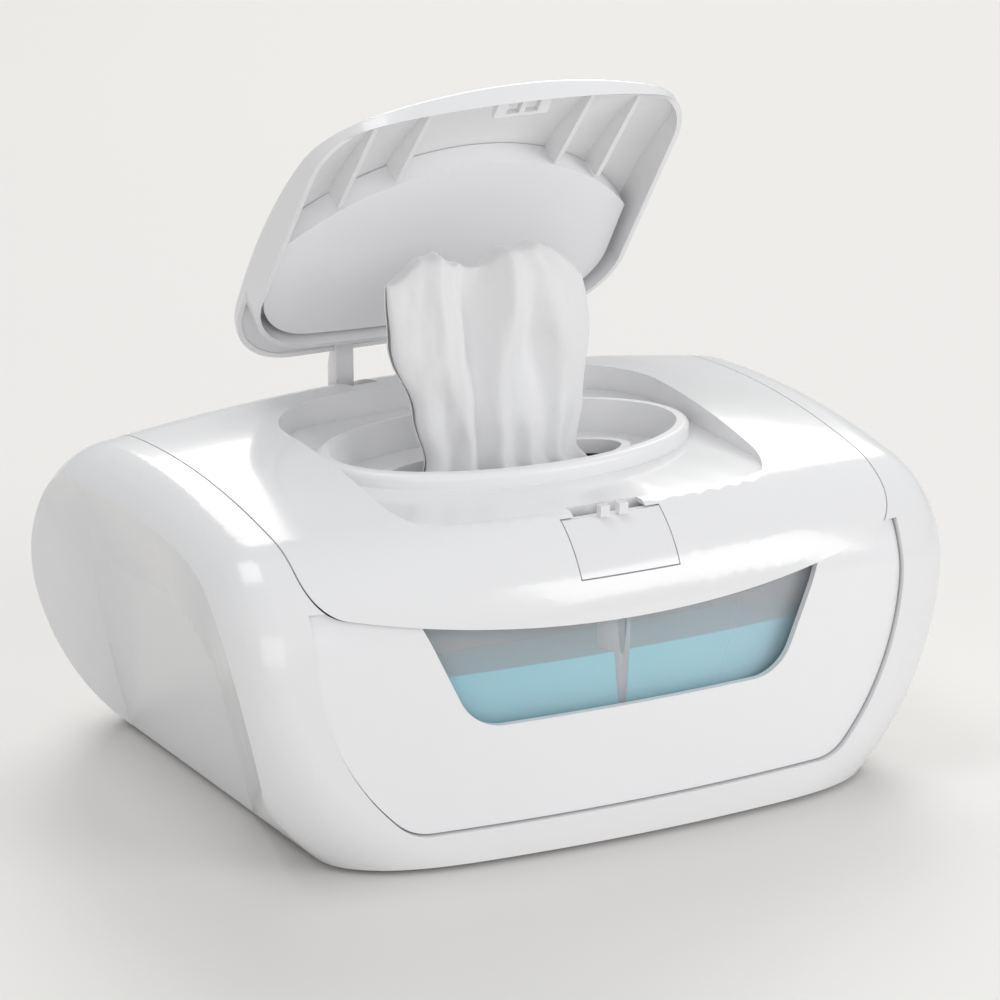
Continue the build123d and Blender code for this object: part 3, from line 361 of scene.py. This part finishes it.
def dress_all():
    body = moulded_gloss("housing white", WHITE)
    for node in NODES:
        if node.startswith("housing") or node == "deck_frame":
            dress(node, body)
    # painted light: the front panel's white is set a little brighter than the housing's white, so that it looks more
    # strongly lit
    dress("front_panel", moulded_gloss("panel white with painted light", (0.89, 0.89, 0.90), 0.18))
    dress("top_cover", moulded_gloss("cover white", (0.87, 0.87, 0.875), 0.17))
    dress("flip_lid", moulded_gloss("flip lid white", WHITE, 0.22))
    # painted light: the liner and well whites are set above the housing's white to lighten parts that sit in shade
    # under the lid and down in the well
    dress("flip_liner", moulded_satin("liner white with painted light", (0.91, 0.91, 0.925), 0.34))
    dress("dispenser_well", moulded_satin("well white with painted light", (0.92, 0.92, 0.925), 0.3))
    dress("release_button", moulded_gloss("button white", (0.85, 0.85, 0.86), 0.16))
    dress("water_tank", clear_moulding("clear tank", (0.93, 0.95, 0.98), 0.20))
    dress("tank_cover", clear_moulding("clear tank cover", (0.90, 0.92, 0.95), 0.3))
    dress("tank_water", tank_water_finish())
    dress("filler_plug", soft_rubber("plug rubber", (0.25, 0.45, 0.52)))
    dress("inner_bin", moulded_satin("bin plastic", (0.88, 0.88, 0.885)))
    dress("bin_seal", soft_rubber("seal rubber", (0.55, 0.55, 0.56)))
    dress("heater_plate", brushed_metal("heater aluminium", (0.8, 0.8, 0.81)))
    dress("insulation_pad", foam_pad())
    dress("thermostat", brushed_metal("sensor case", (0.65, 0.65, 0.66)))
    dress("control_board", circuit_board())
    dress("power_jack", moulded_satin("black plastic", (0.02, 0.02, 0.021)))
    dress("base_plate", moulded_satin("base plastic", (0.78, 0.78, 0.79), 0.5))
    dress("base_screws", brushed_metal("screw steel", (0.6, 0.6, 0.61)))
    dress("rubber_feet", soft_rubber("foot rubber", (0.18, 0.18, 0.18)))
    pins = brushed_metal("pin steel", (0.7, 0.7, 0.71), 0.25)
    dress("cover_hinge_pins", pins)
    dress("flip_lid_pins", pins)
    dress("button_spring", brushed_metal("spring steel", (0.62, 0.62, 0.63), 0.28))


# ------------------------------------------------------------- soft pieces
def grid_piece(name, rows, columns, point, material):
    """A mesh over a grid, each corner of which is placed by point(across, up)."""
    mesh = bpy.data.meshes.new(name)
    corners = [
        point(column / (columns - 1), row / (rows - 1))
        for row in range(rows)
        for column in range(columns)
    ]
    faces = [
        (r * columns + c, r * columns + c + 1, (r + 1) * columns + c + 1, (r + 1) * columns + c)
        for r in range(rows - 1)
        for c in range(columns - 1)
    ]
    mesh.from_pydata(corners, [], faces)
    mesh.polygons.foreach_set("use_smooth", [True] * len(mesh.polygons))
    mesh.materials.append(material)
    piece = bpy.data.objects.new(name, mesh)
    bpy.context.scene.collection.objects.link(piece)
    return piece


def between(levels, height):
    """A value read from (height, value) pairs, smoothly."""
    low = levels[0]
    for high in levels[1:]:
        if height <= high[0]:
            share = (height - low[0]) / (high[0] - low[0])
            share = share * share * (3 - 2 * share)
            return low[1] + (high[1] - low[1]) * max(0.0, share)
        low = high
    return low[1]


WIPE_LOW = 53.2
WIPE_TOP = 161.0
WIPE_MIDDLE = -8.0
WIPE_LEFT = ((53, -36), (82, -31), (90, -29), (97, -27), (112, -31), (135, -39), (152, -40), (161, -37))
WIPE_RIGHT = ((53, 36), (82, 31), (90, 29), (97, 24), (112, 26), (135, 28), (152, 26), (161, 21))
WIPE_DEPTH = ((53, 14), (82, 12), (90, 8), (97, 6), (112, 9), (135, 12), (161, 9))
WIPE_CREST = ((0, 153), (0.12, 160), (0.26, 161), (0.4, 157), (0.47, 155), (0.58, 160), (0.78, 161), (0.9, 159), (1, 150))


def bell(value, middle, reach):
    return exp(-(((value - middle) / reach) ** 2))


def wipe_point(across, up):
    """The pulled-up wipe: up its front, over a soft crest of two lobes and down its back."""
    turn = pi * up
    front = cos(turn)
    side = abs(front) ** 0.32 * (1 if front > 0 else -1)
    crest = between(WIPE_CREST, across)
    height = WIPE_LOW + (crest - WIPE_LOW) * sin(turn) ** 0.9
    share = (height - WIPE_LOW) / (WIPE_TOP - WIPE_LOW)
    left = between(WIPE_LEFT, height)
    right = between(WIPE_RIGHT, height)
    depth = between(WIPE_DEPTH, height) * (0.12 + 0.88 * sin(pi * across) ** 0.5)
    tall = max(0.0, (share - 0.34) / 0.66)
    gather = bell(height, 92, 24)
    valley = bell(across, 0.45 - 0.1 * (1 - tall), 0.06) * (0.45 + 0.55 * tall)
    hood = bell(across, 0.68, 0.17) * bell(height, 126, 20)
    slant = bell(across - 0.0022 * (height - 120), 0.24, 0.05) * tall
    swell = 1.15 - 1.5 * valley - 1.1 * hood - 0.35 * slant + 0.3 * bell(across, 0.57, 0.05) * tall
    pleats = sin(2 * pi * 5 * across + 0.6) * 0.30 * gather + 0.12 * sin(23 * across + 3 * share) * tall
    middle = WIPE_MIDDLE + 2.0 * sin(2 * pi * across) * tall
    if front > 0:
        y = middle - depth * side * (swell + pleats)
    else:
        y = middle - depth * side * (0.8 - 0.6 * pleats)
    x = left + (right - left) * (across + 0.035 * sin(2 * pi * across * 2) * tall)
    spot = Vector((x / 13, y / 20, height / 26))
    wrinkle = noise.noise(spot) * 1.6 * (0.3 + tall) + noise.noise(spot * 3.3) * 0.5
    return Vector((x + 0.8 * wrinkle, y + wrinkle, height + 0.6 * wrinkle * tall)) * MM


def pulled_wipe():
    cloth = non_woven("wipe viscose", (0.97, 0.97, 0.975))
    wipe = grid_piece("wipe_sheet", 150, 170, wipe_point, cloth)
    thick = wipe.modifiers.new("cloth thickness", "SOLIDIFY")
    thick.thickness = 0.0004
    thick.offset = 0
    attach(wipe, "cover")
    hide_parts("wipe")
    return wipe, cloth


STACK_LAYERS = 17


def wipe_stack(cloth):
    """The folded wipes: layers with rounded fold edges, a little out of line."""
    low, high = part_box("wipe_stack")
    mesh = bpy.data.meshes.new("wipe_stack_layers")
    shape = bmesh.new()
    layer = (high.z - low.z) / STACK_LAYERS
    for level in range(STACK_LAYERS):
        drift = noise.noise(Vector((level * 1.7, 0.2, 0.4))) * 0.8 * MM
        half_x = (high.x - low.x) / 2 - abs(drift) - 0.4 * MM
        half_y = (high.y - low.y) / 2 - abs(drift) - 0.4 * MM
        middle = Vector((drift, (low.y + high.y) / 2 - drift, low.z + layer * (level + 0.5)))
        block = bmesh.ops.create_cube(shape, size=1.0)["verts"]
        for vert in block:
            vert.co = Vector((vert.co.x * 2 * half_x, vert.co.y * 2 * half_y, vert.co.z * layer * 0.96))
            vert.co += middle
    bmesh.ops.bevel(
        shape,
        geom=[e for e in shape.edges if abs(e.verts[0].co.z - e.verts[1].co.z) > layer * 0.5],
        offset=10 * MM,
        segments=5,
        profile=0.5,
        affect="EDGES",
    )
    bmesh.ops.bevel(
        shape,
        geom=[e for e in shape.edges if abs(e.verts[0].co.z - e.verts[1].co.z) < 1e-7 and e.calc_face_angle(0) > 0.8],
        offset=layer * 0.42,
        segments=3,
        profile=0.6,
        affect="EDGES",
    )
    shape.to_mesh(mesh)
    shape.free()
    mesh.polygons.foreach_set("use_smooth", [True] * len(mesh.polygons))
    mesh.materials.append(cloth)
    stack = bpy.data.objects.new("wipe_stack_layers", mesh)
    bpy.context.scene.collection.objects.link(stack)
    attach(stack, "base")
    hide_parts("wipe_stack")
    return stack


# ------------------------------------------------------------------- stage
def floor():
    mesh = bpy.data.meshes.new("floor")
    reach = 6.0
    mesh.from_pydata(
        [(-reach, -reach, 0), (reach, -reach, 0), (reach, reach, 0), (-reach, reach, 0)],
        [],
        [(0, 1, 2, 3)],
    )
    f = Finish("pale floor")
    shade = f.cloudy(3.0, 2.0)
    tone = f.mixed(shade * 0.4, (0.80, 0.785, 0.765), (0.78, 0.765, 0.745))
    mesh.materials.append(f.surface(Base_Color=tone, Roughness=0.45))
    plane = bpy.data.objects.new("floor", mesh)
    bpy.context.scene.collection.objects.link(plane)


def softbox(name, place, aim, size, power, colour=(1, 1, 1)):
    lamp = bpy.data.lights.new(name, "AREA")
    lamp.shape = "RECTANGLE"
    lamp.size, lamp.size_y = size
    lamp.energy = power
    lamp.color = colour
    holder = bpy.data.objects.new(name, lamp)
    holder.location = place
    holder.rotation_mode = "QUATERNION"
    holder.rotation_quaternion = (Vector(aim) - Vector(place)).to_track_quat("-Z", "Y")
    bpy.context.scene.collection.objects.link(holder)


def room_light():
    world = bpy.data.worlds.new("room")
    world.use_nodes = True
    world.node_tree.nodes["Background"].inputs["Color"].default_value = (0.97, 0.98, 1.0, 1.0)
    world.node_tree.nodes["Background"].inputs["Strength"].default_value = 0.53
    bpy.context.scene.world = world
    softbox("window light", (0.9, 1.4, 1.4), (0, 0, 0.1), (1.6, 1.1), 17, (1.0, 0.99, 0.96))
    softbox("front light", (1.2, -1.6, 0.8), (0, 0, 0.08), (1.2, 0.8), 11)
    softbox("room fill", (-0.9, -1.9, 0.6), (0, 0, 0.1), (1.4, 1.0), 7)
    softbox("top light", (-0.4, 0.2, 1.7), (0, 0, 0.1), (0.7, 0.7), 5)


CAMERA_TARGET = Vector((-2.67, -10.0, 82.68)) * MM
CAMERA_TURN = radians(28.62)
CAMERA_RISE = radians(16.90)
CAMERA_DISTANCE = 1360 * MM


def camera():
    lens = bpy.data.cameras.new("camera")
    lens.lens = 162
    lens.sensor_width = 36
    lens.clip_start, lens.clip_end = 0.05, 50
    holder = bpy.data.objects.new("camera", lens)
    back = Vector(
        (
            -sin(CAMERA_TURN) * cos(CAMERA_RISE),
            -cos(CAMERA_TURN) * cos(CAMERA_RISE),
            sin(CAMERA_RISE),
        )
    )
    holder.location = CAMERA_TARGET + back * CAMERA_DISTANCE
    holder.rotation_mode = "QUATERNION"
    holder.rotation_quaternion = (-back).to_track_quat("-Z", "Y")
    bpy.context.scene.collection.objects.link(holder)
    bpy.context.scene.camera = holder


dress_all()
wipe, viscose = pulled_wipe()
wipe_stack(viscose)
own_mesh(wipe)
floor()
room_light()
camera()
bpy.context.scene.view_settings.view_transform = "Standard"
